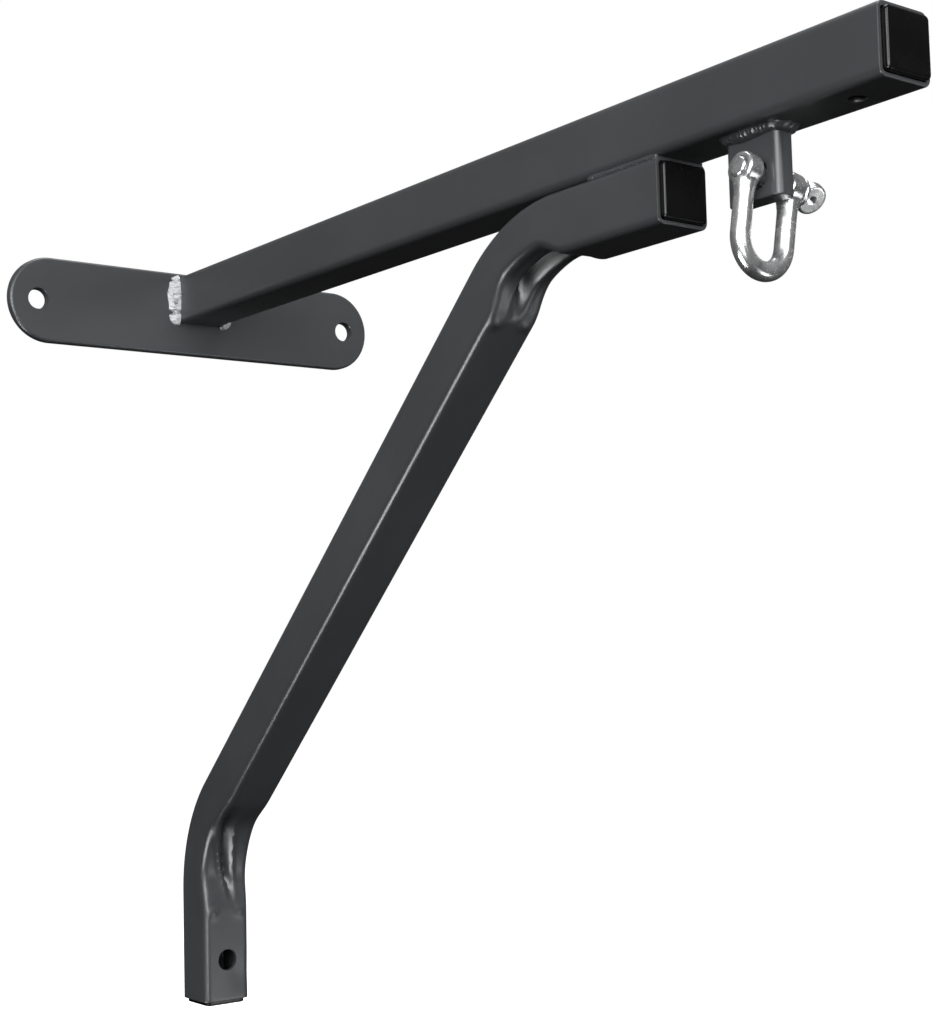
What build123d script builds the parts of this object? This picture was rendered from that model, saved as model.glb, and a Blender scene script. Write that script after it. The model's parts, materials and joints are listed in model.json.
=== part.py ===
"""Wall bracket for hanging a punch bag: a flat wall plate, a square arm, a bent brace
that also bolts to the wall, and a leaning D-shackle in a lug under the arm."""

import os
from math import cos, radians, sin, tan

from build123d import *

# Driving dimensions in millimetres. The origin is the centre of the wall plate's rear face.
# +Z is up, the arm stands out from the wall along -Y, and +X is to the right seen from the room.
plate_width = 294.0
plate_height = 60.0
plate_thickness = 6.0
plate_edge_radius = 1.2
wall_hole_from_end = 21.0
wall_hole_diameter = 14.0

tube_size = 35.0
tube_wall = 2.5
tube_corner_radius = 4.5

arm_length = 650.0
arm_below_plate_top = 2.0
spare_hole_diameter = 9.0
spare_hole_from_end = 28.0

brace_end_from_arm_end = 143.0
brace_stub_length = 119.0
brace_angle = 43.1
brace_bend_radius = 90.0
brace_foot_below_bend = 114.2
foot_hole_diameter = 14.0
foot_hole_above_end = 28.0

plug_head = 5.0
plug_skirt = 12.0
plug_skirt_wall = 2.0
plug_edge_radius = 1.2
plug_stands_out = 3.0

lug_thickness = 12.0
lug_width = 35.0
lug_drop = 34.5
lug_corner_radius = 4.0
lug_from_arm_end = 89.0
lug_hole_play = 4.0
lug_hole_above_lug_end = 12.0
lug_hole_towards_arm_end = 3.0

shackle_wire = 10.0
shackle_jaw = 20.0
shackle_leg = 31.4
shackle_ear_diameter = 16.4
shackle_ear_over_wire = 0.4
shackle_lean = 10.0
pin_diameter = 10.0
pin_collar_diameter = 15.0
pin_collar_thickness = 2.5
pin_eye_diameter = 16.0
pin_eye_thickness = 5.0
pin_eye_hole = 5.0
pin_eye_turn = 45.0

bead_leg = 5.0
seam_bead_radius = 3.4
seam_bead_length = 54.0
lug_bead_leg = 4.0

# Named clearances between pieces that move on each other.
pin_running_clearance = 0.05
pin_rest_gap = 0.3
collar_gap = 0.3
ear_rest_gap = 0.5

# Heights and outward distances that follow from the driving dimensions.
bore_size = tube_size - 2 * tube_wall
bore_corner_radius = tube_corner_radius - tube_wall
half_tube = tube_size / 2
wall_hole_spacing = plate_width - 2 * wall_hole_from_end
arm_axis_z = plate_height / 2 - arm_below_plate_top - half_tube
arm_underside_z = arm_axis_z - half_tube
arm_end_out = plate_thickness + arm_length
stub_axis_z = arm_axis_z - tube_size
stub_end_out = arm_end_out - brace_end_from_arm_end
foot_axis_out = half_tube
lug_out = arm_end_out - lug_from_arm_end
lug_end_z = arm_underside_z - lug_drop
lug_hole_z = lug_end_z + lug_hole_above_lug_end
lug_hole_out = lug_out + lug_hole_towards_arm_end
lug_hole_diameter = pin_diameter + lug_hole_play

os.makedirs("parts", exist_ok=True)


def save(piece, name):
    """Label a finished piece and write it as one STEP file."""
    piece.label = name
    export_step(piece, f"parts/{name}.step")


def square_tube_profile():
    """Draw the hollow rounded square of the bracket's tube in the current sketch."""
    RectangleRounded(tube_size, tube_size, tube_corner_radius)
    RectangleRounded(bore_size, bore_size, bore_corner_radius, mode=Mode.SUBTRACT)


# Wall plate: an obround flat bar with one bolt hole in each round end.
with BuildPart() as wall_plate:
    with BuildSketch(Plane.XZ):
        SlotOverall(plate_width, plate_height)
    extrude(amount=plate_thickness)
    with BuildSketch(Plane.XZ):
        with GridLocations(wall_hole_spacing, 0, 2, 1):
            Circle(wall_hole_diameter / 2)
    extrude(amount=plate_thickness, mode=Mode.SUBTRACT)
    outer_rim = wall_plate.faces().sort_by(Axis.Y)[0].outer_wire()
    fillet(outer_rim.edges(), radius=plate_edge_radius)
save(wall_plate.part, "wall_plate")

# Arm: a straight square tube from the plate's front face, with a small hole under its free end.
arm_start = Plane((0, -plate_thickness, arm_axis_z), x_dir=(1, 0, 0), z_dir=(0, -1, 0))
arm_end = Plane((0, -arm_end_out, arm_axis_z), x_dir=(1, 0, 0), z_dir=(0, -1, 0))
spare_hole_plane = Plane((0, spare_hole_from_end - arm_end_out, arm_underside_z))
with BuildPart() as arm_tube:
    with BuildSketch(arm_start):
        square_tube_profile()
    extrude(amount=arm_length)
    with BuildSketch(spare_hole_plane):
        Circle(spare_hole_diameter / 2)
    extrude(amount=tube_wall, mode=Mode.SUBTRACT)
save(arm_tube.part, "arm_tube")

# Brace: the same tube, straight under the arm, bent down to the wall and bent again to lie on it.
upper_corner_out = stub_end_out - brace_stub_length
lower_corner_z = stub_axis_z - (upper_corner_out - foot_axis_out) * tan(radians(brace_angle))
foot_end_z = lower_corner_z - brace_foot_below_bend
foot_hole_z = foot_end_z + foot_hole_above_end
brace_corners = [
    (0, -stub_end_out, stub_axis_z),
    (0, -upper_corner_out, stub_axis_z),
    (0, -foot_axis_out, lower_corner_z),
    (0, -foot_axis_out, foot_end_z),
]
stub_end = Plane(brace_corners[0], x_dir=(1, 0, 0), z_dir=(0, -1, 0))
foot_end = Plane(brace_corners[-1], x_dir=(1, 0, 0), z_dir=(0, 0, -1))
foot_front = Plane((0, -tube_size, foot_hole_z), x_dir=(1, 0, 0), z_dir=(0, -1, 0))
with BuildPart() as brace_tube:
    with BuildLine():
        FilletPolyline(*brace_corners, radius=brace_bend_radius)
    with BuildSketch(stub_end):
        square_tube_profile()
    sweep()
    with BuildSketch(foot_front):
        Circle(foot_hole_diameter / 2)
    extrude(amount=-tube_size, mode=Mode.SUBTRACT)
save(brace_tube.part, "brace_tube")


def end_plug(mouth, stand_out):
    """Make a square push-in plug for a tube mouth; stand_out is its face's height over the mouth."""
    with BuildPart() as plug:
        with BuildSketch(mouth.offset(stand_out)):
            RectangleRounded(bore_size, bore_size, bore_corner_radius)
        extrude(amount=-plug_head)
        face_edges = plug.faces().sort_by(Axis(mouth.origin, mouth.z_dir))[-1].edges()
        fillet(face_edges, radius=plug_edge_radius)
        with BuildSketch(mouth.offset(stand_out - plug_head)):
            RectangleRounded(bore_size, bore_size, bore_corner_radius)
            offset(amount=-plug_skirt_wall, mode=Mode.SUBTRACT)
        extrude(amount=-plug_skirt)
    return plug.part


# Plugs: each head stands a few millimetres proud of its tube's mouth.
save(end_plug(arm_end, plug_stands_out), "arm_end_plug")
save(end_plug(stub_end, plug_stands_out), "brace_upper_plug")
save(end_plug(foot_end, plug_stands_out), "brace_foot_plug")

# Hanger lug: an upright block with round vertical edges, welded under the arm.
lug_hole_plane = Plane((-lug_thickness / 2, -lug_hole_out, lug_hole_z), x_dir=(0, -1, 0), z_dir=(-1, 0, 0))
lug_top = Plane((0, -lug_out, arm_underside_z))
with BuildPart() as hanger_lug:
    with BuildSketch(lug_top):
        RectangleRounded(lug_thickness, lug_width, lug_corner_radius)
    extrude(amount=-lug_drop)
    with BuildSketch(lug_hole_plane):
        Circle(lug_hole_diameter / 2)
    extrude(amount=-lug_thickness, mode=Mode.SUBTRACT)
save(hanger_lug.part, "hanger_lug")

# Weld beads between the plate and the arm's two sides, hollowed to fit the tube's round edges.
bead_reach = tube_corner_radius
with BuildPart() as arm_envelope:
    with BuildSketch(arm_start):
        RectangleRounded(tube_size, tube_size, tube_corner_radius)
    extrude(amount=2 * bead_leg)
for side, name in ((-1, "arm_weld_left"), (1, "arm_weld_right")):
    bead_foot = Plane((side * half_tube, -plate_thickness, arm_axis_z - half_tube))
    with BuildPart() as arm_weld:
        with BuildSketch(bead_foot):
            with BuildLine():
                toe = (side * bead_leg, 0)
                crest = (0, -bead_leg)
                inner = -side * bead_reach
                middle = (side * 0.6 * bead_leg, -0.6 * bead_leg)
                ThreePointArc(toe, middle, crest)
                Polyline(crest, (inner, -bead_leg), (inner, 0), toe)
            make_face()
        extrude(amount=tube_size)
        add(arm_envelope.part, mode=Mode.SUBTRACT)
    save(arm_weld.part, name)

# Seam beads fill the two grooves between the arm's and the brace's round edges.
seam_start = Plane((0, -stub_end_out, arm_underside_z), x_dir=(1, 0, 0), z_dir=(0, 1, 0))
with BuildPart() as stacked_tubes:
    with BuildSketch(seam_start):
        with Locations((0, half_tube), (0, -half_tube)):
            RectangleRounded(tube_size, tube_size, tube_corner_radius)
    extrude(amount=seam_bead_length)
for side, name in ((-1, "brace_weld_left"), (1, "brace_weld_right")):
    with BuildPart() as seam_weld:
        with BuildSketch(seam_start):
            with Locations((side * (half_tube - seam_bead_radius + 0.8), 0)):
                Circle(seam_bead_radius)
        extrude(amount=seam_bead_length)
        add(stacked_tubes.part, mode=Mode.SUBTRACT)
    save(seam_weld.part, name)

# Lug bead: one fillet all round the lug where it meets the arm's underside.
with BuildPart() as lug_weld:
    with BuildSketch(lug_top):
        RectangleRounded(lug_thickness, lug_width, lug_corner_radius)
        offset(amount=lug_bead_leg)
    extrude(amount=-lug_bead_leg, taper=44)
    add(hanger_lug.part, mode=Mode.SUBTRACT)
save(lug_weld.part, "lug_weld")

# Shackle: its frame's x runs along the leaning pin and its y up between the ears.
# It leans on the lug: the pin rests in the bottom of the hole, one ear against the lug's side.
lean = radians(shackle_lean)
bow_radius = (shackle_jaw + shackle_wire) / 2
shackle_ear_thickness = shackle_wire + shackle_ear_over_wire
ear_inner = bow_radius - shackle_ear_thickness / 2
ear_outer = bow_radius + shackle_ear_thickness / 2
ear_tip_reach = ear_inner * cos(lean) - shackle_ear_diameter / 2 * sin(lean)
side_shift = ear_tip_reach - lug_thickness / 2 - ear_rest_gap
pin_drop = lug_hole_diameter / 2 - pin_rest_gap - pin_diameter / 2 / cos(lean)
pin_axis_z = lug_hole_z - pin_drop + lug_thickness / 2 * tan(lean)
shackle_middle = (side_shift, -lug_hole_out, pin_axis_z - side_shift * tan(lean))
shackle = Plane(shackle_middle, x_dir=(cos(lean), 0, -sin(lean)), z_dir=(0, -1, 0))
across_pin = Plane(shackle.origin, x_dir=(0, -1, 0), z_dir=shackle.x_dir)
with BuildPart() as shackle_bow:
    with BuildLine(shackle):
        left_leg = Line((-bow_radius, 0), (-bow_radius, -shackle_leg))
        crown = ThreePointArc(left_leg @ 1, (0, -shackle_leg - bow_radius), (bow_radius, -shackle_leg))
        Line(crown @ 1, (bow_radius, 0))
    with BuildSketch(Plane(left_leg @ 0, x_dir=shackle.x_dir, z_dir=left_leg % 0)):
        Circle(shackle_wire / 2)
    sweep()
    for ear_start in (-ear_outer, ear_inner):
        with BuildSketch(across_pin.offset(ear_start)):
            Circle(shackle_ear_diameter / 2)
        extrude(amount=shackle_ear_thickness)
    with BuildSketch(across_pin.offset(-ear_outer)):
        Circle(pin_diameter / 2 + pin_running_clearance)
    extrude(amount=2 * ear_outer, mode=Mode.SUBTRACT)
save(shackle_bow.part, "shackle_bow")

# Shackle pin: shank, collar and a flat round eye for turning it, with a small hole.
collar_start = ear_outer + collar_gap
eye_middle = collar_start + pin_collar_thickness + pin_eye_diameter / 2 - 1
eye_square = Plane(shackle.origin + shackle.x_dir * eye_middle, x_dir=shackle.x_dir, z_dir=(0, -1, 0))
eye_plane = eye_square.rotated((pin_eye_turn, 0, 0))
with BuildPart() as shackle_pin:
    with BuildSketch(across_pin.offset(-ear_outer)):
        Circle(pin_diameter / 2)
    extrude(amount=ear_outer + collar_start)
    with BuildSketch(across_pin.offset(collar_start)):
        Circle(pin_collar_diameter / 2)
    extrude(amount=pin_collar_thickness)
    with BuildSketch(eye_plane.offset(-pin_eye_thickness / 2)):
        Circle(pin_eye_diameter / 2)
    extrude(amount=pin_eye_thickness)
    with BuildSketch(eye_plane.offset(-pin_eye_thickness / 2)):
        Circle(pin_eye_hole / 2)
    extrude(amount=pin_eye_thickness, mode=Mode.SUBTRACT)
save(shackle_pin.part, "shackle_pin")
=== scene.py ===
import json
import math

import bmesh
import bpy
from mathutils import Matrix, Vector, noise


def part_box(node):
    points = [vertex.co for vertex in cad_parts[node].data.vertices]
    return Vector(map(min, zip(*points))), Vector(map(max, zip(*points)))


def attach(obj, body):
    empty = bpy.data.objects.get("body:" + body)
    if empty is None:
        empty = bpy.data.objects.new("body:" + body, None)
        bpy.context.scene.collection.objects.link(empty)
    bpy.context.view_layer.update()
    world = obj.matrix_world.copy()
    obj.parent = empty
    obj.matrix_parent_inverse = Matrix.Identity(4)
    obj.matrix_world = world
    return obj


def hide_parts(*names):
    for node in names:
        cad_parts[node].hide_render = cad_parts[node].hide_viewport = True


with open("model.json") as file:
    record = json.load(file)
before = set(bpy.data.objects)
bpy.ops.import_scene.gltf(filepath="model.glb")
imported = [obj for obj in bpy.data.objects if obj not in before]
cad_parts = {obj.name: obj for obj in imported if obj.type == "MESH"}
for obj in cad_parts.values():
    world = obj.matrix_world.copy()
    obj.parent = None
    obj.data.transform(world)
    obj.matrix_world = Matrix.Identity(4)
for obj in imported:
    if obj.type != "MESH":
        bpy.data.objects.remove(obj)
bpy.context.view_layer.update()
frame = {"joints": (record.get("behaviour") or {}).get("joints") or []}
mm = 0.001
across = Vector((1, 0, 0))
cutPast = 1 * mm  # how far a cutter reaches beyond the wall it cuts
print("frame loaded")


# small tools that every piece uses

def addPiece(name, mesh, body, slotName, *cadNodes):
    piece = bpy.data.objects.new(name, mesh)
    bpy.context.scene.collection.objects.link(piece)
    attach(piece, body)
    if cadNodes:
        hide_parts(*cadNodes)
    return piece


def meshFromRings(name, rings, closed=False, capped=False):
    # rings are equal loops of points, joined one to the next by quads
    count = len(rings[0])
    points = [p for ring in rings for p in ring]
    faces = []
    last = len(rings) if closed else len(rings) - 1
    for i in range(last):
        a = i * count
        b = ((i + 1) % len(rings)) * count
        for k in range(count):
            n = (k + 1) % count
            faces.append((a + k, a + n, b + n, b + k))
    if capped:
        faces.append(tuple(reversed(range(count))))
        faces.append(tuple(range(len(points) - count, len(points))))
    mesh = bpy.data.meshes.new(name)
    mesh.from_pydata(points, [], faces)
    return mesh


def finishMesh(mesh, sharpAngle=35.0, mergeBelow=1e-6):
    # outward normals, smooth faces and creases only where the surface really turns
    work = bmesh.new()
    work.from_mesh(mesh)
    bmesh.ops.remove_doubles(work, verts=work.verts, dist=mergeBelow)
    bmesh.ops.recalc_face_normals(work, faces=work.faces)
    limit = math.radians(sharpAngle)
    for face in work.faces:
        face.smooth = True
    for edge in work.edges:
        edge.smooth = len(edge.link_faces) == 2 and edge.calc_face_angle() < limit
    work.to_mesh(mesh)
    work.free()
    return mesh


def bakeModifiers(piece):
    # the finished mesh replaces the working one, so nothing is left to evaluate
    graph = bpy.context.evaluated_depsgraph_get()
    done = bpy.data.meshes.new_from_object(piece.evaluated_get(graph))
    piece.modifiers.clear()
    old = piece.data
    piece.data = done
    bpy.data.meshes.remove(old)
    return piece


def looseObject(name, mesh):
    thing = bpy.data.objects.new(name, mesh)
    bpy.context.scene.collection.objects.link(thing)
    return thing


def drop(thing):
    mesh = thing.data
    bpy.data.objects.remove(thing)
    bpy.data.meshes.remove(mesh)


def drill(piece, start, end, radius, lip=0.0):
    # cuts a round hole; lip opens its mouth at start a little, as paint and deburring do
    steps = 48
    along = (end - start).normalized()
    side = along.orthogonal().normalized()
    other = along.cross(side)
    profile = [(0.0, radius)]
    if lip:
        profile = [(0.0, radius + 1.6 * lip), (0.35 * lip + 1 * mm, radius + 0.6 * lip)]
        profile.append((1.2 * lip + 1 * mm, radius + 0.12 * lip))
        profile.append((2.4 * lip + 1 * mm, radius))
    profile.append(((end - start).length, radius))
    rings = []
    for deep, wide in profile:
        ring = []
        for k in range(steps):
            turn = 2 * math.pi * k / steps
            ring.append(start + along * deep + wide * (math.cos(turn) * side + math.sin(turn) * other))
        rings.append(ring)
    cutter = looseObject("cutter", finishMesh(meshFromRings("cutter", rings, capped=True)))
    step = piece.modifiers.new("drill", "BOOLEAN")
    step.operation = "DIFFERENCE"
    step.solver = "EXACT"
    step.object = cutter
    bakeModifiers(piece)
    drop(cutter)
    return piece


def weighNormals(piece):
    # flats keep one clean shade right up to their round edges
    step = piece.modifiers.new("normals", "WEIGHTED_NORMAL")
    step.keep_sharp = True
    step.weight = 100
    return bakeModifiers(piece)


def smoothStep(low, high, value):
    t = min(1.0, max(0.0, (value - low) / (high - low)))
    return t * t * (3 - 2 * t)


# camera

cameraLook = {
    "place": (-0.6196, -1.1432, -0.2580),
    "azimuth": -37.15,
    "elevation": -4.83,
    "roll": -1.41,
    "lens": 61.88,
}


def makeCamera(look):
    turn = math.radians(look["azimuth"])
    lift = math.radians(look["elevation"])
    roll = math.radians(look["roll"])
    back = Vector((math.sin(turn) * math.cos(lift), -math.cos(turn) * math.cos(lift), math.sin(lift)))
    right = (-back).cross(Vector((0, 0, 1))).normalized()
    up = back.cross(right)
    rolledRight = math.cos(roll) * right + math.sin(roll) * up
    rolledUp = math.cos(roll) * up - math.sin(roll) * right
    data = bpy.data.cameras.new("camera")
    data.sensor_width = 36
    data.lens = look["lens"]
    data.clip_end = 50
    camera = bpy.data.objects.new("camera", data)
    bpy.context.scene.collection.objects.link(camera)
    turned = Matrix((rolledRight, rolledUp, back)).transposed().to_4x4()
    camera.matrix_world = Matrix.Translation(look["place"]) @ turned
    bpy.context.scene.camera = camera


makeCamera(cameraLook)


# finishes

def startMaterial(name):
    material = bpy.data.materials.new(name)
    material.use_nodes = True
    tree = material.node_tree
    shader = tree.nodes["Principled BSDF"]
    place = tree.nodes.new("ShaderNodeTexCoord")
    return material, tree, shader, place.outputs["Object"]


def addNoise(tree, place, scale, detail=3.0, rough=0.55, warp=0.0):
    node = tree.nodes.new("ShaderNodeTexNoise")
    node.inputs["Scale"].default_value = scale
    node.inputs["Detail"].default_value = detail
    node.inputs["Roughness"].default_value = rough
    node.inputs["Distortion"].default_value = warp
    tree.links.new(place, node.inputs["Vector"])
    return node.outputs["Fac"]


def addRange(tree, value, low, high, toLow, toHigh):
    node = tree.nodes.new("ShaderNodeMapRange")
    node.inputs["From Min"].default_value = low
    node.inputs["From Max"].default_value = high
    node.inputs["To Min"].default_value = toLow
    node.inputs["To Max"].default_value = toHigh
    tree.links.new(value, node.inputs["Value"])
    return node.outputs["Result"]


def addRamp(tree, value, stops):
    node = tree.nodes.new("ShaderNodeValToRGB")
    ramp = node.color_ramp
    while len(ramp.elements) < len(stops):
        ramp.elements.new(0.5)
    for element, (place, colour) in zip(ramp.elements, stops):
        element.position = place
        element.color = (*colour, 1)
    tree.links.new(value, node.inputs["Fac"])
    return node.outputs["Color"]


def addBump(tree, height, strength, distance, under=None):
    node = tree.nodes.new("ShaderNodeBump")
    node.inputs["Strength"].default_value = strength
    node.inputs["Distance"].default_value = distance
    tree.links.new(height, node.inputs["Height"])
    if under is not None:
        tree.links.new(under, node.inputs["Normal"])
    return node.outputs["Normal"]


powderLook = {
    "dark": (0.034, 0.036, 0.039),
    "light": (0.047, 0.050, 0.053),
    "roughness": (0.30, 0.40),
    "peelScale": 620,
    "peelDepth": 0.05 * mm,
}
zincLook = {
    "dark": (0.40, 0.41, 0.42),
    "light": (0.84, 0.85, 0.86),
    "roughness": (0.22, 0.34),
}
plasticLook = {
    "dark": (0.0016, 0.0016, 0.0018),
    "light": (0.0030, 0.0030, 0.0034),
    "roughness": (0.24, 0.32),
    "grainScale": 2600,
}
# pale grey weld colours: a painted highlight, standing in for the bright shine on the beads at the wall plate
weldHighlightLook = {
    "dark": (0.13, 0.13, 0.14),
    "light": (0.40, 0.41, 0.42),
    "roughness": (0.45, 0.60),
}


def makePowderCoat(name, look, wobble=0.0):
    material, tree, shader, place = startMaterial(name)
    cloud = addNoise(tree, place, 7, 4, 0.6)
    grain = addNoise(tree, place, 1900, 2, 0.5)
    peel = addNoise(tree, place, look["peelScale"], 2, 0.45)
    wave = addNoise(tree, place, 70, 2, 0.5)
    colour = addRamp(tree, cloud, ((0.3, look["dark"]), (0.7, look["light"])))
    tree.links.new(colour, shader.inputs["Base Color"])
    rough = addRange(tree, cloud, 0.3, 0.7, look["roughness"][1], look["roughness"][0])
    tree.links.new(rough, shader.inputs["Roughness"])
    shader.inputs["Specular IOR Level"].default_value = 0.5
    normal = addBump(tree, wave, 0.35 + wobble, 0.25 * mm)
    normal = addBump(tree, peel, 0.6, look["peelDepth"], normal)
    normal = addBump(tree, grain, 0.25, 0.01 * mm, normal)
    tree.links.new(normal, shader.inputs["Normal"])
    return material


def makeZinc(name, look):
    material, tree, shader, place = startMaterial(name)
    cloud = addNoise(tree, place, 130, 4, 0.6, 0.4)
    fine = addNoise(tree, place, 900, 3, 0.6)
    colour = addRamp(tree, cloud, ((0.32, look["dark"]), (0.55, look["light"])))
    tree.links.new(colour, shader.inputs["Base Color"])
    shader.inputs["Metallic"].default_value = 0.9
    rough = addRange(tree, cloud, 0.3, 0.7, look["roughness"][1], look["roughness"][0])
    tree.links.new(rough, shader.inputs["Roughness"])
    normal = addBump(tree, cloud, 0.12, 0.15 * mm)
    normal = addBump(tree, fine, 0.1, 0.004 * mm, normal)
    tree.links.new(normal, shader.inputs["Normal"])
    return material


def makePlastic(name, look):
    material, tree, shader, place = startMaterial(name)
    cloud = addNoise(tree, place, 45, 3)
    grain = addNoise(tree, place, look["grainScale"], 2)
    colour = addRamp(tree, cloud, ((0.3, look["dark"]), (0.7, look["light"])))
    tree.links.new(colour, shader.inputs["Base Color"])
    rough = addRange(tree, cloud, 0.3, 0.7, look["roughness"][0], look["roughness"][1])
    tree.links.new(rough, shader.inputs["Roughness"])
    shader.inputs["Specular IOR Level"].default_value = 0.3
    normal = addBump(tree, grain, 0.2, 0.012 * mm)
    tree.links.new(normal, shader.inputs["Normal"])
    return material


# weld beads coloured pale grey, so the colour itself paints in their bright highlight
def makeWeldPaintedHighlight(name, look):
    material, tree, shader, place = startMaterial(name)
    blot = addNoise(tree, place, 260, 4, 0.6, 0.6)
    fine = addNoise(tree, place, 1500, 3)
    colour = addRamp(tree, blot, ((0.34, look["dark"]), (0.46, look["light"])))
    tree.links.new(colour, shader.inputs["Base Color"])
    shader.inputs["Metallic"].default_value = 0.25
    rough = addRange(tree, fine, 0.3, 0.7, look["roughness"][0], look["roughness"][1])
    tree.links.new(rough, shader.inputs["Roughness"])
    normal = addBump(tree, blot, 0.25, 0.15 * mm)
    normal = addBump(tree, fine, 0.2, 0.01 * mm, normal)
    tree.links.new(normal, shader.inputs["Normal"])
    return material


powderCoat = makePowderCoat("charcoalPowderCoat", powderLook)
zincPlate = makeZinc("brightZincPlate", zincLook)
blackPlastic = makePlastic("blackMouldedPlastic", plasticLook)
weldPaintedHighlight = makeWeldPaintedHighlight("weldBeadPaintedHighlight", weldHighlightLook)
print("finishes made")


# square tubes: both carry the same rounded section, solid wall and softly broken mouth

tubeLow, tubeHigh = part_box("arm_tube")
braceLow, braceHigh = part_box("brace_tube")
plateLow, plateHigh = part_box("wall_plate")
tubeSize = tubeHigh.x - tubeLow.x
tubeLook = {
    "wall": 2.5 * mm,
    "cornerRadius": 4.5 * mm,
    "flatCuts": 17,
    "arcCuts": 7,
    "mouthRound": 0.7 * mm,
}


def roundedRing(width, height, radius, flatCuts, arcCuts):
    # points (across, upright) of a rounded rectangle, the same number whatever its size
    reachX = width / 2 - radius
    reachY = height / 2 - radius
    signs = ((1, 1), (-1, 1), (-1, -1), (1, -1))
    ring = []
    for quarter, (sx, sy) in enumerate(signs):
        start = quarter * math.pi / 2
        for k in range(arcCuts + 1):
            turn = start + math.pi / 2 * k / arcCuts
            ring.append((sx * reachX + radius * math.cos(turn), sy * reachY + radius * math.sin(turn)))
        nx, ny = signs[(quarter + 1) % 4]
        turn = start + math.pi / 2
        ahead = (nx * reachX + radius * math.cos(turn), ny * reachY + radius * math.sin(turn))
        here = ring[-1]
        for k in range(1, flatCuts + 1):
            t = k / (flatCuts + 1)
            ring.append((here[0] * (1 - t) + ahead[0] * t, here[1] * (1 - t) + ahead[1] * t))
    return ring


def tubeMesh(name, stations, look, reshape=None):
    # stations are (centre, upright direction, progress); the tube is closed, with real walls
    wall = look["wall"]
    soft = look["mouthRound"]
    cuts = (look["flatCuts"], look["arcCuts"])
    bore = tubeSize - 2 * wall
    outer = roundedRing(tubeSize, tubeSize, look["cornerRadius"], *cuts)
    inner = roundedRing(bore, bore, look["cornerRadius"] - wall, *cuts)

    def ringAt(station, share, backSet=0.0):
        # share 0 is the outer skin and 1 the bore
        centre, upright, progress = station
        along = across.cross(upright)
        points = []
        for (ox, oy), (ix, iy) in zip(outer, inner):
            p = ox + (ix - ox) * share
            q = oy + (iy - oy) * share
            if reshape:
                p, q = reshape(p, q, progress)
            points.append(centre + across * p + upright * q + along * backSet)
        return points

    softShare = soft / wall
    rings = []
    first, last = stations[0], stations[-1]
    ends = ((first, 1), (last, -1))
    sign = 1 if across.cross(first[1]).dot(stations[1][0] - first[0]) > 0 else -1
    mouthSteps = [(0.0, 1.0), (softShare * 0.29, 0.29), (softShare, 0.0)]
    mouthSteps += [(1 - softShare, 0.0), (1 - softShare * 0.29, 0.29), (1.0, 1.0)]
    for station in stations[1:-1]:
        rings.append(ringAt(station, 0.0))
    for share, backSet in mouthSteps:
        rings.append(ringAt(last, share, -sign * soft * backSet))
    for station in reversed(stations[1:-1]):
        rings.append(ringAt(station, 1.0))
    for share, backSet in reversed(mouthSteps):
        rings.append(ringAt(first, share, sign * soft * backSet))
    return finishMesh(meshFromRings(name, rings, closed=True), 50)


# arm

armLook = {
    "spareHoleRadius": 4.5 * mm,
    "spareHoleFromEnd": 28 * mm,
    "ringSpacing": 18 * mm,
    "drillDepth": 6 * mm,
    "holeLip": 0.5 * mm,
}


def makeArm(look):
    axisZ = (tubeLow.z + tubeHigh.z) / 2
    length = tubeHigh.y - tubeLow.y
    count = max(4, round(length / look["ringSpacing"]))
    up = Vector((0, 0, 1))
    stations = []
    for i in range(count + 1):
        stations.append((Vector((0, tubeHigh.y - length * i / count, axisZ)), up, i / count))
    arm = addPiece("armTube", tubeMesh("armTube", stations, tubeLook), "bracket", "powder_coat", "arm_tube")
    holeY = tubeLow.y + look["spareHoleFromEnd"]
    mouth = Vector((0, holeY, tubeLow.z - cutPast))
    drill(arm, mouth, mouth + up * look["drillDepth"], look["spareHoleRadius"], look["holeLip"])
    finishMesh(arm.data, 40)
    weighNormals(arm)
    arm.data.materials.append(powderCoat)
    return arm


makeArm(armLook)
print("arm made")


# brace: straight under the arm, then two bends whose inner wall is pressed in

braceLook = {
    "stubLength": 119 * mm,
    "angle": 43.1,
    "bendRadius": 90 * mm,
    "fineSpacing": 1.3 * mm,
    "coarseSpacing": 16 * mm,
    "footSpacing": 2.5 * mm,
    "fineMargin": 26 * mm,
    "dents": (
        {
            "reach": (-1.30, -0.55, 0.35, 1.30),
            "valleyAt": 0.05,
            "valleySway": -0.10,
            "valleyWidth": 0.24,
            "valleyPress": 9.0 * mm,
            "cornerPress": 7.6 * mm,
            "ridge": 1.6 * mm,
        },
        {
            "reach": (-1.45, -0.45, 0.45, 1.35),
            "valleyAt": -0.16,
            "valleySway": 0.34,
            "valleyWidth": 0.17,
            "valleyPress": 4.8 * mm,
            "cornerPress": 3.2 * mm,
            "ridge": 1.9 * mm,
        },
    ),
    "sideBulge": 0.9 * mm,
    "lumpSpots": (-0.62, 0.55),
    "lumpDepth": 1.1 * mm,
    "footWave": 0.5 * mm,
    "footWaveAt": 17 * mm,
    "footWaveSpread": 10 * mm,
    "footHoleRadius": 7 * mm,
    "footHoleAboveEnd": 28 * mm,
    "holeLip": 0.5 * mm,
}


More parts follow.
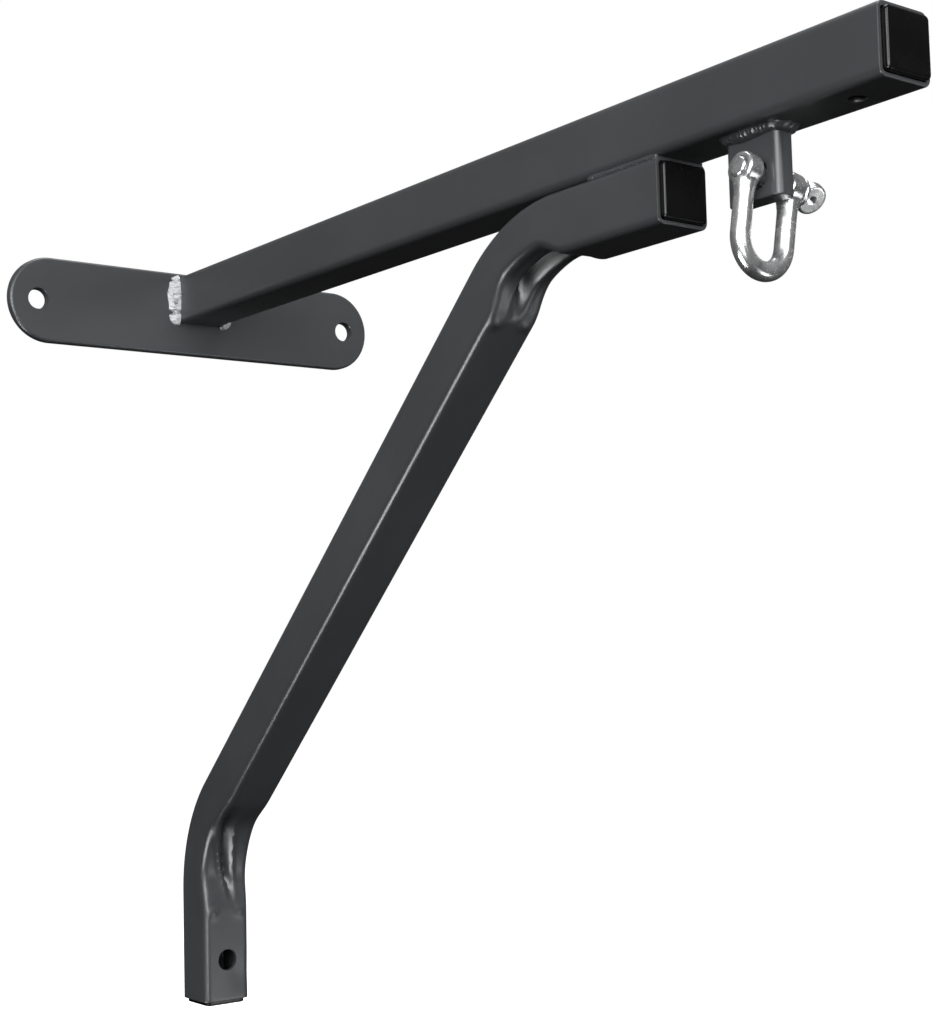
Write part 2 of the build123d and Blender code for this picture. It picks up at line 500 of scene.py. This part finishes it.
def bracePath(look):
    # runs are (kind, length, heading below level at its start, at its end), upper end to foot
    half = tubeSize / 2
    angle = math.radians(look["angle"])
    stubZ = braceHigh.z - half
    footOut = half
    cornerOut = -braceLow.y - look["stubLength"]
    drop = (cornerOut - footOut) * math.tan(angle)
    slope = (cornerOut - footOut) / math.cos(angle)
    lowerTurn = math.pi / 2 - angle
    upperTangent = look["bendRadius"] * math.tan(angle / 2)
    lowerTangent = look["bendRadius"] * math.tan(lowerTurn / 2)
    footRun = stubZ - drop - braceLow.z
    runs = [
        ("straight", look["stubLength"] - upperTangent, 0.0, 0.0),
        ("upper", look["bendRadius"] * angle, 0.0, angle),
        ("straight", slope - upperTangent - lowerTangent, angle, angle),
        ("lower", look["bendRadius"] * lowerTurn, angle, math.pi / 2),
        ("straight", footRun - lowerTangent, math.pi / 2, math.pi / 2),
    ]
    return runs, Vector((0, braceLow.y, stubZ))


def braceStations(look):
    # progress is (past the upper bend's middle, past the lower bend's middle, left to the foot's end)
    runs, here = bracePath(look)
    starts = [sum(r[1] for r in runs[:i]) for i in range(len(runs))]
    upperMiddle = starts[1] + runs[1][1] / 2
    lowerMiddle = starts[3] + runs[3][1] / 2
    total = starts[-1] + runs[-1][1]
    margin = look["fineMargin"]
    marks = [0.0]
    while marks[-1] < total:
        at = marks[-1]
        nearUpper = abs(at - upperMiddle) < runs[1][1] / 2 + margin
        nearLower = abs(at - lowerMiddle) < runs[3][1] / 2 + margin
        step = look["fineSpacing"] if nearUpper or nearLower else look["coarseSpacing"]
        if at > lowerMiddle and not nearLower:
            step = look["footSpacing"]
        if not (nearUpper or nearLower):
            for middle, length in ((upperMiddle, runs[1][1]), (lowerMiddle, runs[3][1])):
                edge = middle - length / 2 - margin
                if at < edge < at + step:
                    step = edge - at + look["fineSpacing"] / 2
        marks.append(at + step)
    marks[-1] = total
    if marks[-1] - marks[-2] < look["fineSpacing"]:
        marks.pop(-2)

    def headingAt(at):
        for (kind, length, begin, end), start in zip(runs, starts):
            if at <= start + length:
                return begin + (end - begin) * (at - start) / length
        return math.pi / 2

    stations = []
    before = 0.0
    for at in marks:
        pieces = 6
        for k in range(pieces):
            middle = before + (at - before) * (k + 0.5) / pieces
            heading = headingAt(middle)
            here = here + Vector((0, math.cos(heading), -math.sin(heading))) * (at - before) / pieces
        before = at
        heading = headingAt(at)
        upright = Vector((0, math.sin(heading), math.cos(heading)))
        stations.append((here.copy(), upright, (at - upperMiddle, at - lowerMiddle, total - at)))
    return stations, (runs[1][1], runs[3][1])


def makeBrace(look):
    stations, bendLengths = braceStations(look)
    half = tubeSize / 2

    def pressed(p, q, progress):
        # the inner wall is driven in across each bend: a curved valley between two ridges,
        # with the tube's corners drawn in as well and small lumps where the pressing stops
        for fromMiddle, length, facts in zip(progress[:2], bendLengths, look["dents"]):
            t = fromMiddle / (length / 2)
            begin, full, late, end = facts["reach"]
            if t < begin or t > end + 0.4:
                continue
            strength = smoothStep(begin, full, t) * (1 - smoothStep(late, end, t))
            low = smoothStep(0.35 * half, -0.8 * half, q)
            middle = facts["valleyAt"] + facts["valleySway"] * t
            x = p / half
            wide = facts["valleyWidth"] * (1.15 - 0.35 * t)
            valley = math.exp(-(((x - middle) / wide) ** 2))
            ridges = math.exp(-(((x - middle + 1.75 * wide) / (0.55 * wide)) ** 2))
            ridges += 0.7 * math.exp(-(((x - middle - 1.75 * wide) / (0.6 * wide)) ** 2))
            rise = facts["cornerPress"] + facts["valleyPress"] * valley - facts["ridge"] * ridges
            q = q + strength * low * rise
            side = math.exp(-(((q + 0.35 * half) / (0.5 * half)) ** 2))
            edge = smoothStep(0.6 * half, half, abs(p))
            p = p + math.copysign(look["sideBulge"] * strength * side * edge, p)
            for spot in look["lumpSpots"]:
                near = ((p / half - spot) / 0.2) ** 2 + ((t - end - 0.02) / 0.1) ** 2
                q = q - look["lumpDepth"] * math.exp(-near) * smoothStep(-0.4 * half, -half, q)
        # the foot's front wall is faintly wavy below its hole
        aboveEnd = progress[2]
        fromCrest = (aboveEnd - look["footWaveAt"]) / look["footWaveSpread"]
        wave = math.exp(-(fromCrest ** 2)) * smoothStep(-2 * mm, 9 * mm, p)
        q = q + look["footWave"] * wave * smoothStep(-0.5 * half, -0.9 * half, q)
        return p, q

    mesh = tubeMesh("braceTube", stations, tubeLook, pressed)
    brace = addPiece("braceTube", mesh, "bracket", "powder_coat", "brace_tube")
    front = Vector((0, braceHigh.y - tubeSize - cutPast, braceLow.z + look["footHoleAboveEnd"]))
    away = Vector((0, 1, 0))
    drill(brace, front, front + away * (tubeSize + 2 * cutPast), look["footHoleRadius"], look["holeLip"])
    finishMesh(brace.data, 40)
    weighNormals(brace)
    brace.data.materials.append(powderCoat)
    return brace


makeBrace(braceLook)
print("brace made")


# wall plate: obround flat bar with softly broken, painted edges

plateLook = {
    "edgeRound": 2.4 * mm,
    "holeRadius": 7 * mm,
    "holeFromEnd": 21 * mm,
    "holeLip": 0.8 * mm,
    "arcSteps": 40,
}


def obround(width, height, inset, arcSteps):
    radius = height / 2 - inset
    reach = (width - height) / 2
    loop = []
    for side, begin in ((1, -math.pi / 2), (-1, math.pi / 2)):
        for k in range(arcSteps + 1):
            turn = begin + math.pi * k / arcSteps
            loop.append((side * reach + radius * math.cos(turn), radius * math.sin(turn)))
    return loop


def makeWallPlate(look):
    width = plateHigh.x - plateLow.x
    height = plateHigh.z - plateLow.z
    thick = plateHigh.y - plateLow.y
    soft = look["edgeRound"]
    profile = [(0.3 * soft, 0.0), (0.0, -0.3 * soft)]
    for k in range(7):
        turn = math.pi / 2 * k / 6
        profile.append((soft * (1 - math.cos(turn)), -thick + soft * (1 - math.sin(turn))))
    rings = []
    for inset, y in profile:
        rings.append([Vector((x, y, z)) for x, z in obround(width, height, inset, look["arcSteps"])])
    mesh = finishMesh(meshFromRings("wallPlate", rings, capped=True))
    plate = addPiece("wallPlate", mesh, "bracket", "powder_coat", "wall_plate")
    for side in (-1, 1):
        x = side * (width / 2 - look["holeFromEnd"])
        front = Vector((x, -thick - cutPast, 0))
        back = front + Vector((0, thick + 2 * cutPast, 0))
        drill(plate, front, back, look["holeRadius"], look["holeLip"])
    finishMesh(plate.data, 35)
    weighNormals(plate)
    plate.data.materials.append(powderCoat)
    return plate


makeWallPlate(plateLook)
print("wall plate made")


# plugs: push-in caps whose face is crowned inside a rounded rim

def stackedMesh(name, centre, upright, outward, width, height, radius, profile, cuts=(10, 6)):
    # profile is (inset, height along outward) from the buried end to the middle of the face
    side = upright.cross(outward)
    rings = []
    for inset, lift in profile:
        soft = max(0.15 * mm, radius - inset)
        ring = roundedRing(width - 2 * inset, height - 2 * inset, soft, *cuts)
        rings.append([centre + side * p + upright * q + outward * lift for p, q in ring])
    return finishMesh(meshFromRings(name, rings, capped=True))


plugLook = {
    "standOut": 3 * mm,
    "depth": 14 * mm,
    "lipRound": 1.4 * mm,
    "crown": 0.08 * mm,
    "gap": 0.12 * mm,
}


def makePlug(name, node, centre, outward, look):
    standOut = look["standOut"]
    bore = tubeSize - 2 * tubeLook["wall"] - 2 * look["gap"]
    soft = look["lipRound"]
    profile = [(0.8 * mm, -look["depth"]), (0.0, -look["depth"] + 2 * mm)]
    for k in range(7):
        turn = math.pi / 2 * k / 6
        profile.append((soft * (1 - math.cos(turn)), standOut - soft * (1 - math.sin(turn))))
    middle = bore / 2 - 0.4 * mm
    for k in range(1, 11):
        t = k / 10
        inset = soft + (middle - soft) * t
        profile.append((inset, standOut + look["crown"] * math.sin(t * math.pi / 2)))
    upright = Vector((0, 0, 1)) if abs(outward.z) < 0.5 else Vector((0, 1, 0))
    corner = tubeLook["cornerRadius"] - tubeLook["wall"]
    mesh = stackedMesh(name, centre, upright, outward, bore, bore, corner + 0.6 * mm, profile)
    plug = addPiece(name, mesh, "bracket", "black_plastic", node)
    plug.data.materials.append(blackPlastic)
    return plug


armAxisZ = (tubeLow.z + tubeHigh.z) / 2
stubAxisZ = braceHigh.z - tubeSize / 2
towardsRoom = Vector((0, -1, 0))
makePlug("armEndPlug", "arm_end_plug", Vector((0, tubeLow.y, armAxisZ)), towardsRoom, plugLook)
makePlug("braceUpperPlug", "brace_upper_plug", Vector((0, braceLow.y, stubAxisZ)), towardsRoom, plugLook)
footMouth = Vector((0, braceHigh.y - tubeSize / 2, braceLow.z))
makePlug("braceFootPlug", "brace_foot_plug", footMouth, Vector((0, 0, -1)), plugLook)
print("plugs made")


# hanger lug: an upright block, round along its standing edges, with an oversize hole

lugLow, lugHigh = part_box("hanger_lug")
bowJoint = [j for j in frame["joints"] if j["name"] == "bow_swing"][0]
pinMiddle = Vector(bowJoint["pos_m"])
pinAlong = Vector(bowJoint["axis"]).normalized()
lugLook = {
    "standingRound": 4 * mm,
    "edgeRound": 0.7 * mm,
    "holeRadius": 7 * mm,
    "holeAboveEnd": 12 * mm,
    "holeTowardsEnd": 3 * mm,
    "holeLip": 0.4 * mm,
}


def makeLug(look):
    thick = lugHigh.x - lugLow.x
    wide = lugHigh.y - lugLow.y
    tall = lugHigh.z - lugLow.z
    soft = look["edgeRound"]
    profile = [(0.0, 0.0), (0.0, tall * 0.5)]
    for k in range(6):
        turn = math.pi / 2 * k / 5
        profile.append((soft * (1 - math.cos(turn)), tall - soft * (1 - math.sin(turn))))
    top = Vector((0, (lugLow.y + lugHigh.y) / 2, lugHigh.z))
    down = Vector((0, 0, -1))
    mesh = stackedMesh("hangerLug", top, Vector((0, 1, 0)), down, thick, wide, look["standingRound"], profile)
    lug = addPiece("hangerLug", mesh, "bracket", "powder_coat", "hanger_lug")
    left = Vector((lugLow.x - cutPast, top.y - look["holeTowardsEnd"], lugLow.z + look["holeAboveEnd"]))
    drill(lug, left, left + across * (thick + 2 * cutPast), look["holeRadius"], look["holeLip"])
    finishMesh(lug.data, 35)
    weighNormals(lug)
    lug.data.materials.append(powderCoat)
    return lug


makeLug(lugLook)
print("lug made")


# weld beads: laid ripple by ripple along a corner, with uneven toes

def beadMesh(name, spine, look, closed=False):
    # spine is (corner, towards one surface, towards the other, outward) at each step
    steps = look["roundSteps"]
    rings = []
    travelled = 0.0
    before = spine[0][0]
    total = sum((spine[i][0] - spine[i - 1][0]).length for i in range(1, len(spine)))
    for corner, first, second, outward in spine:
        travelled += (corner - before).length
        before = corner
        rough = noise.noise(corner * look["unevenScale"] + Vector((look["seed"], 0, 0)))
        leg = look["leg"] * (1 + look["uneven"] * rough)
        widths = look.get("widths")
        if widths:
            at = travelled / total
            for (low, lowWide), (high, highWide) in zip(widths, widths[1:]):
                if low <= at <= high:
                    leg *= lowWide + (highWide - lowWide) * smoothStep(low, high, at)
                    break
        fade = 1.0
        if not closed:
            ends = min(travelled, total - travelled) / (1.1 * leg)
            fade = math.sqrt(max(0.0, 1 - (1 - min(1.0, ends)) ** 2))
            fade = max(fade, 0.08)
        ring = []
        for k in range(steps + 1):
            t = k / steps
            curve = 4 * t * (1 - t)
            phase = travelled / look["pitch"] + 0.55 * curve
            saw = phase - math.floor(phase)
            ripple = (saw if saw < 0.75 else (1 - saw) * 3) - 0.4
            crest = look["crown"] * curve + look["rippleHeight"] * ripple * min(1.0, 2 * curve)
            lump = noise.noise(corner * 900 + Vector((t * 3, look["seed"], 0))) * look["lump"]
            place = corner + (first * (1 - t) + second * t) * leg * fade
            ring.append(place + outward * (crest + lump * curve) * fade)
        ring.append(corner - outward * look["rootDepth"])
        rings.append(ring)
    mesh = meshFromRings(name, rings, closed=closed, capped=not closed)
    return finishMesh(mesh, 60)


def straightSpine(start, end, first, second, outward, spacing=0.35 * mm):
    count = max(2, round((end - start).length / spacing))
    return [(start.lerp(end, i / count), first, second, outward) for i in range(count + 1)]


beadLook = {
    "leg": 5.2 * mm,
    "crown": 1.0 * mm,
    "pitch": 2.6 * mm,
    "rippleHeight": 0.45 * mm,
    "uneven": 0.35,
    "unevenScale": 95,
    "lump": 0.35 * mm,
    "rootDepth": 2.5 * mm,
    "roundSteps": 12,
    "seed": 3,
}
armBeadLook = dict(
    beadLook,
    pitch=4.6 * mm,
    rippleHeight=0.5 * mm,
    uneven=0.2,
    lump=0.7 * mm,
    plateReach=1.5,
    armReach=0.75,
    belowArm=2.2 * mm,
    aboveArm=0.4 * mm,
    # (how far up the bead, how wide there): a loose foot, a pinch, the main run, a small head
    widths=((0, 0.75), (0.10, 0.9), (0.20, 1.0), (0.25, 0.62), (0.32, 1.12), (0.6, 1.2), (0.84, 0.95),
            (0.88, 0.6), (0.93, 0.8), (1, 0.35)),
)


def makeArmBeads(look):
    # one upright bead each side of the arm, run a little past its edges
    for side, name, node in ((-1, "armWeldLeft", "arm_weld_left"), (1, "armWeldRight", "arm_weld_right")):
        x = side * tubeSize / 2
        low = Vector((x, plateLow.y, tubeLow.z - look["belowArm"]))
        high = Vector((x, plateLow.y, tubeHigh.z + look["aboveArm"]))
        outward = Vector((side, -1, 0)).normalized()
        facts = dict(look, seed=look["seed"] + 4 * side)
        overPlate = Vector((side * look["plateReach"], 0, 0))
        spine = straightSpine(low, high, overPlate, towardsRoom * look["armReach"], outward)
        bead = addPiece(name, beadMesh(name, spine, facts), "bracket", "weld_metal", node)
        # the wall beads get the pale grey finish that paints in their highlight
        bead.data.materials.append(weldPaintedHighlight)


seamLook = dict(
    beadLook,
    leg=2.3 * mm,
    crown=1.35 * mm,
    pitch=2.1 * mm,
    rippleHeight=0.3 * mm,
    uneven=0.5,
    rootDepth=1.5 * mm,
    length=54 * mm,
    inset=2.0 * mm,
    seed=11,
)


def makeSeamBeads(look):
    # the two grooves between the round edges of the arm and the brace's straight end
    up = Vector((0, 0, 1))
    beads = ((-1, "braceWeldLeft", "brace_weld_left"), (1, "braceWeldRight", "brace_weld_right"))
    for side, name, node in beads:
        x = side * (tubeSize / 2 - look["inset"])
        start = Vector((x, braceLow.y + look["length"], tubeLow.z))
        end = Vector((x, braceLow.y + 0.5 * mm, tubeLow.z))
        facts = dict(look, seed=look["seed"] + 5 * side)
        spine = straightSpine(start, end, up, -up, Vector((side, 0, 0)))
        bead = addPiece(name, beadMesh(name, spine, facts), "bracket", "powder_coat", node)
        bead.data.materials.append(powderCoat)


lugBeadLook = dict(
    beadLook,
    leg=3.9 * mm,
    crown=0.7 * mm,
    pitch=2.4 * mm,
    rippleHeight=0.4 * mm,
    seed=21,
)


def makeLugBead(look):
    # one fillet all round the lug's top
    thick = lugHigh.x - lugLow.x
    wide = lugHigh.y - lugLow.y
    ring = roundedRing(thick, wide, lugLook["standingRound"], 40, 12)
    middleY = (lugLow.y + lugHigh.y) / 2
    down = Vector((0, 0, -1))
    spine = []
    for k in range(len(ring)):
        here = Vector((ring[k][0], ring[k][1], 0))
        ahead = Vector((*ring[(k + 1) % len(ring)], 0))
        back = Vector((*ring[k - 1], 0))
        along = (ahead - back).normalized()
        away = Vector((along.y, -along.x, 0))
        outward = (away + down).normalized()
        spine.append((Vector((here.x, middleY + here.y, lugHigh.z)), away, down, outward))
    mesh = beadMesh("lugWeld", spine, look, closed=True)
    bead = addPiece("lugWeld", mesh, "bracket", "powder_coat", "lug_weld")
    bead.data.materials.append(powderCoat)


makeArmBeads(armBeadLook)
makeSeamBeads(seamLook)
makeLugBead(lugBeadLook)
print("weld beads made")


# shackle: forged bow and screw pin, grown together from plain shapes and smoothed

shackleLook = {
    "wireRadius": 5 * mm,
    "bowRadius": 15 * mm,
    "leg": 31.4 * mm,
    "earRadius": 8.2 * mm,
    "earThickness": 10.0 * mm,
    "earRound": 1.6 * mm,
    "neckRadius": 5.9 * mm,
    "neckReach": (6 * mm, 13 * mm),
    "holeRadius": 5.05 * mm,
    "holeLip": 0.5 * mm,
    "grain": 0.5 * mm,
    "melt": 24,
}
pinLook = {
    "radius": 4.95 * mm,
    "threadLength": 13 * mm,
    "pitch": 1.5 * mm,
    "threadDepth": 0.55 * mm,
    "collarRadius": 7.5 * mm,
    "collarThickness": 2.5 * mm,
    "collarRound": 0.8 * mm,
    "collarGap": 0.3 * mm,
    "eyeRadius": 8 * mm,
    "eyeThickness": 5 * mm,
    "eyeRound": 0.9 * mm,
    "eyeHole": 2.5 * mm,
    "eyeTurn": 45,
    "endStandOut": 1.5 * mm,
    "endRound": 1.5 * mm,
    "threadSpacing": 0.15 * mm,
    "grain": 0.45 * mm,
    "melt": 5,
}
shackleUp = Vector((-pinAlong.z, 0, pinAlong.x))


def onShackle(x, y, depth=0.0):
    # x runs along the pin, y up between the ears, depth towards the room
    return pinMiddle + pinAlong * x + shackleUp * y + towardsRoom * depth


def sweptRod(name, path, radii, steps=32):
    rings = []
    for i, point in enumerate(path):
        ahead = path[min(i + 1, len(path) - 1)]
        back = path[max(i - 1, 0)]
        along = (ahead - back).normalized()
        side = towardsRoom
        other = along.cross(side).normalized()
        ring = []
        for k in range(steps):
            turn = 2 * math.pi * k / steps
            ring.append(point + radii[i] * (math.cos(turn) * side + math.sin(turn) * other))
        rings.append(ring)
    return finishMesh(meshFromRings(name, rings, capped=True))


def softDisc(name, start, end, radius, soft, steps=64):
    # a disc with rounded rims between two points on its axis
    along = (end - start).normalized()
    length = (end - start).length
    side = along.orthogonal().normalized()
    other = along.cross(side)
    profile = []
    for k in range(6):
        turn = math.pi / 2 * k / 5
        profile.append((soft * (1 - math.sin(turn)), radius - soft * (1 - math.cos(turn))))
    profile.reverse()
    full = profile + [(length - a, r) for a, r in reversed(profile)]
    rings = []
    for deep, wide in full:
        ring = []
        for k in range(steps):
            turn = 2 * math.pi * k / steps
            ring.append(start + along * deep + wide * (math.cos(turn) * side + math.sin(turn) * other))
        rings.append(ring)
    return finishMesh(meshFromRings(name, rings, capped=True))


def growTogether(name, meshes, grain, smoothing):
    # joins overlapping closed shapes into one skin and melts their meeting lines
    work = bmesh.new()
    for mesh in meshes:
        work.from_mesh(mesh)
        bpy.data.meshes.remove(mesh)
    joined = bpy.data.meshes.new(name)
    work.to_mesh(joined)
    work.free()
    thing = looseObject(name, joined)
    skin = thing.modifiers.new("skin", "REMESH")
    skin.mode = "VOXEL"
    skin.voxel_size = grain
    melt = thing.modifiers.new("melt", "SMOOTH")
    melt.factor = 0.5
    melt.iterations = smoothing
    bakeModifiers(thing)
    mesh = thing.data
    bpy.data.objects.remove(thing)
    return finishMesh(mesh, 50)


def makeBow(look):
    wire = look["wireRadius"]
    reach = look["bowRadius"]
    path = [onShackle(-reach, 1 * mm)]
    for k in range(1, 16):
        path.append(onShackle(-reach, -look["leg"] * k / 16))
    for k in range(25):
        turn = math.pi + math.pi * k / 24
        path.append(onShackle(reach * math.cos(turn), -look["leg"] + reach * math.sin(turn)))
    for k in range(15, 0, -1):
        path.append(onShackle(reach, -look["leg"] * k / 16))
    path.append(onShackle(reach, 1 * mm))
    radii = []
    for point in path:
        below = (pinMiddle - point).dot(shackleUp)
        flare = 1 - smoothStep(*look["neckReach"], below)
        radii.append(wire + (look["neckRadius"] - wire) * flare * smoothStep(-1 * mm, 4 * mm, below))
    shapes = [sweptRod("bowWire", path, radii)]
    half = look["earThickness"] / 2
    for side in (-1, 1):
        inner = onShackle(side * reach - half, 0)
        outer = onShackle(side * reach + half, 0)
        shapes.append(softDisc("ear", inner, outer, look["earRadius"], look["earRound"]))
    mesh = growTogether("shackleBow", shapes, look["grain"], look["melt"])
    bow = addPiece("shackleBow", mesh, "bow", "zinc_plate", "shackle_bow")
    far = reach + half + cutPast
    drill(bow, onShackle(-far, 0), onShackle(far, 0), look["holeRadius"], look["holeLip"])
    finishMesh(bow.data, 50)
    bow.data.materials.append(zincPlate)
    return bow


def makePin(look):
    reach = shackleLook["bowRadius"] + shackleLook["earThickness"] / 2
    collarStart = reach + look["collarGap"]
    eyeMiddle = collarStart + look["collarThickness"] + look["eyeRadius"] - 1 * mm

    # threaded shank
    side = towardsRoom
    other = pinAlong.cross(side)
    rings = []
    steps = 48
    start = -reach - look["endStandOut"]
    spacing = look["threadSpacing"]
    marks = [start + spacing * k for k in range(int(look["threadLength"] / spacing))]
    marks += [marks[-1] + 1 * mm, collarStart + 1 * mm]
    for at in marks:
        ring = []
        deep = at - start
        lead = 1 - min(1.0, deep / look["endRound"])
        for k in range(steps):
            turn = 2 * math.pi * k / steps
            phase = deep / look["pitch"] - k / steps
            tooth = abs((phase - math.floor(phase)) * 2 - 1)
            fade = 1 - smoothStep(look["threadLength"] - 2 * mm, look["threadLength"], deep)
            fade *= smoothStep(1.2 * mm, 2.2 * mm, deep)
            wide = look["radius"] - look["threadDepth"] * tooth * fade
            wide -= look["endRound"] * (1 - math.sqrt(1 - lead * lead))
            ring.append(onShackle(at, 0) + wide * (math.cos(turn) * side + math.sin(turn) * other))
        rings.append(ring)
    shank = addPiece("shacklePin", finishMesh(meshFromRings("shacklePin", rings, capped=True), 60),
                     "pin", "zinc_plate", "shackle_pin")
    shank.data.materials.append(zincPlate)

    # collar and flat eye, left at the turn it was tightened to
    collarEnd = collarStart + look["collarThickness"]
    half = look["eyeThickness"] / 2
    turn = math.radians(look["eyeTurn"])
    flat = math.cos(turn) * towardsRoom - math.sin(turn) * shackleUp
    middle = onShackle(eyeMiddle, 0)
    inner = onShackle(collarStart, 0)
    outer = onShackle(collarEnd, 0)
    shapes = [
        softDisc("collar", inner, outer, look["collarRadius"], look["collarRound"]),
        softDisc("eye", middle - flat * half, middle + flat * half, look["eyeRadius"], look["eyeRound"]),
    ]
    mesh = growTogether("shacklePinEye", shapes, look["grain"], look["melt"])
    eye = addPiece("shacklePinEye", mesh, "pin", "zinc_plate")
    depth = half + 2 * cutPast
    drill(eye, middle + flat * depth, middle - flat * depth, look["eyeHole"])
    finishMesh(eye.data, 50)
    eye.data.materials.append(zincPlate)


makeBow(shackleLook)
makePin(pinLook)
print("shackle made")


# floor, light and sky

stageLook = {
    "floorZ": -0.85,
    "ambient": (0.024, 0.16),
    "keyPower": 63,
    "fillPower": 36,
    "fillLowPower": 22,
    "fillRightPower": 30,
    "backPower": 45,
    "topPower": 40,
    "lowCardPower": 32,
    "frontCardPower": 32,
    "rightCardPower": 3.5,
}


def addLight(name, place, target, size, power, height=None):
    data = bpy.data.lights.new(name, "AREA")
    data.shape = "RECTANGLE"
    data.size = size
    data.size_y = height or size
    data.energy = power
    light = bpy.data.objects.new(name, data)
    bpy.context.scene.collection.objects.link(light)
    light.location = place
    light.rotation_mode = "QUATERNION"
    light.rotation_quaternion = (Vector(target) - Vector(place)).to_track_quat("-Z", "Y")
    return light


def makeStage(look):
    size = 12
    mesh = bpy.data.meshes.new("floor")
    corners = [(-size, -size, 0), (size, -size, 0), (size, size, 0), (-size, size, 0)]
    mesh.from_pydata([(x, y, look["floorZ"]) for x, y, z in corners], [], [(0, 1, 2, 3)])
    floor = looseObject("floor", mesh)
    material, tree, shader, place = startMaterial("paleFloor")
    shade = addNoise(tree, place, 3, 2)
    colour = addRamp(tree, shade, ((0.0, (0.93, 0.93, 0.93)), (1.0, (0.95, 0.95, 0.95))))
    tree.links.new(colour, shader.inputs["Base Color"])
    shader.inputs["Roughness"].default_value = 0.9
    shader.inputs["Emission Color"].default_value = (1, 1, 1, 1)
    shader.inputs["Emission Strength"].default_value = 0.95
    mesh.materials.append(material)
    floor.visible_diffuse = False
    floor.visible_glossy = False

    world = bpy.data.worlds.new("softRoom")
    bpy.context.scene.world = world
    world.use_nodes = True
    tree = world.node_tree
    sky = tree.nodes["Background"]
    sky.inputs["Color"].default_value = (1, 1, 1, 1)
    heading = tree.nodes.new("ShaderNodeTexCoord")
    split = tree.nodes.new("ShaderNodeSeparateXYZ")
    tree.links.new(heading.outputs["Generated"], split.inputs["Vector"])
    strength = addRange(tree, split.outputs["Z"], -0.15, 0.8, *look["ambient"])
    tree.links.new(strength, sky.inputs["Strength"])
    seen = tree.nodes.new("ShaderNodeBackground")
    seen.inputs["Color"].default_value = (1, 1, 1, 1)
    seen.inputs["Strength"].default_value = 1.0
    path = tree.nodes.new("ShaderNodeLightPath")
    mix = tree.nodes.new("ShaderNodeMixShader")
    tree.links.new(path.outputs["Is Camera Ray"], mix.inputs["Fac"])
    tree.links.new(sky.outputs["Background"], mix.inputs[1])
    tree.links.new(seen.outputs["Background"], mix.inputs[2])
    tree.links.new(mix.outputs["Shader"], tree.nodes["World Output"].inputs["Surface"])

    addLight("keyLeft", (-2.0, -1.6, 0.3), (0, -0.3, -0.15), 1.6, look["keyPower"])
    addLight("fillFront", (-0.4, -2.6, 0.8), (0, -0.2, -0.2), 1.3, look["fillPower"])
    fillLow = addLight("fillLow", (0.6, -1.8, -1.6), (0, -0.2, -0.3), 0.8, look["fillLowPower"])
    fillRight = addLight("fillRight", (1.7, -1.5, 0.1), (0.1, 0, 0), 0.8, look["fillRightPower"])
    backLeft = addLight("backLeft", (-1.6, 2.2, 0.8), (0, -0.3, -0.2), 1.2, look["backPower"])
    backRight = addLight("backRight", (2.2, 0.9, 0.5), (0, -0.3, -0.2), 1.2, look["backPower"])
    for soft in (fillLow, fillRight, backLeft, backRight):
        soft.visible_glossy = False
    addLight("topSoft", (0.2, -0.2, 2.2), (0, -0.3, 0), 1.5, look["topPower"])

    # cards that only show as reflections on edges, dents and bright metal
    rightCard = addLight("rightCard", (0.80, -1.45, -1.02), (0, -0.03, -0.48), 0.45, look["rightCardPower"])
    lowCard = addLight("lowCard", (-1.1, -0.35, -1.3), (0, -0.3, -0.3), 0.7, look["lowCardPower"])
    frontCard = addLight("frontCard", (-1.3, -1.9, -0.2), (0, -0.3, -0.2), 0.6, look["frontCardPower"], 1.4)
    for card in (lowCard, frontCard, rightCard):
        card.visible_diffuse = False
    bpy.context.scene.view_settings.view_transform = "Standard"


makeStage(stageLook)
print("stage made")
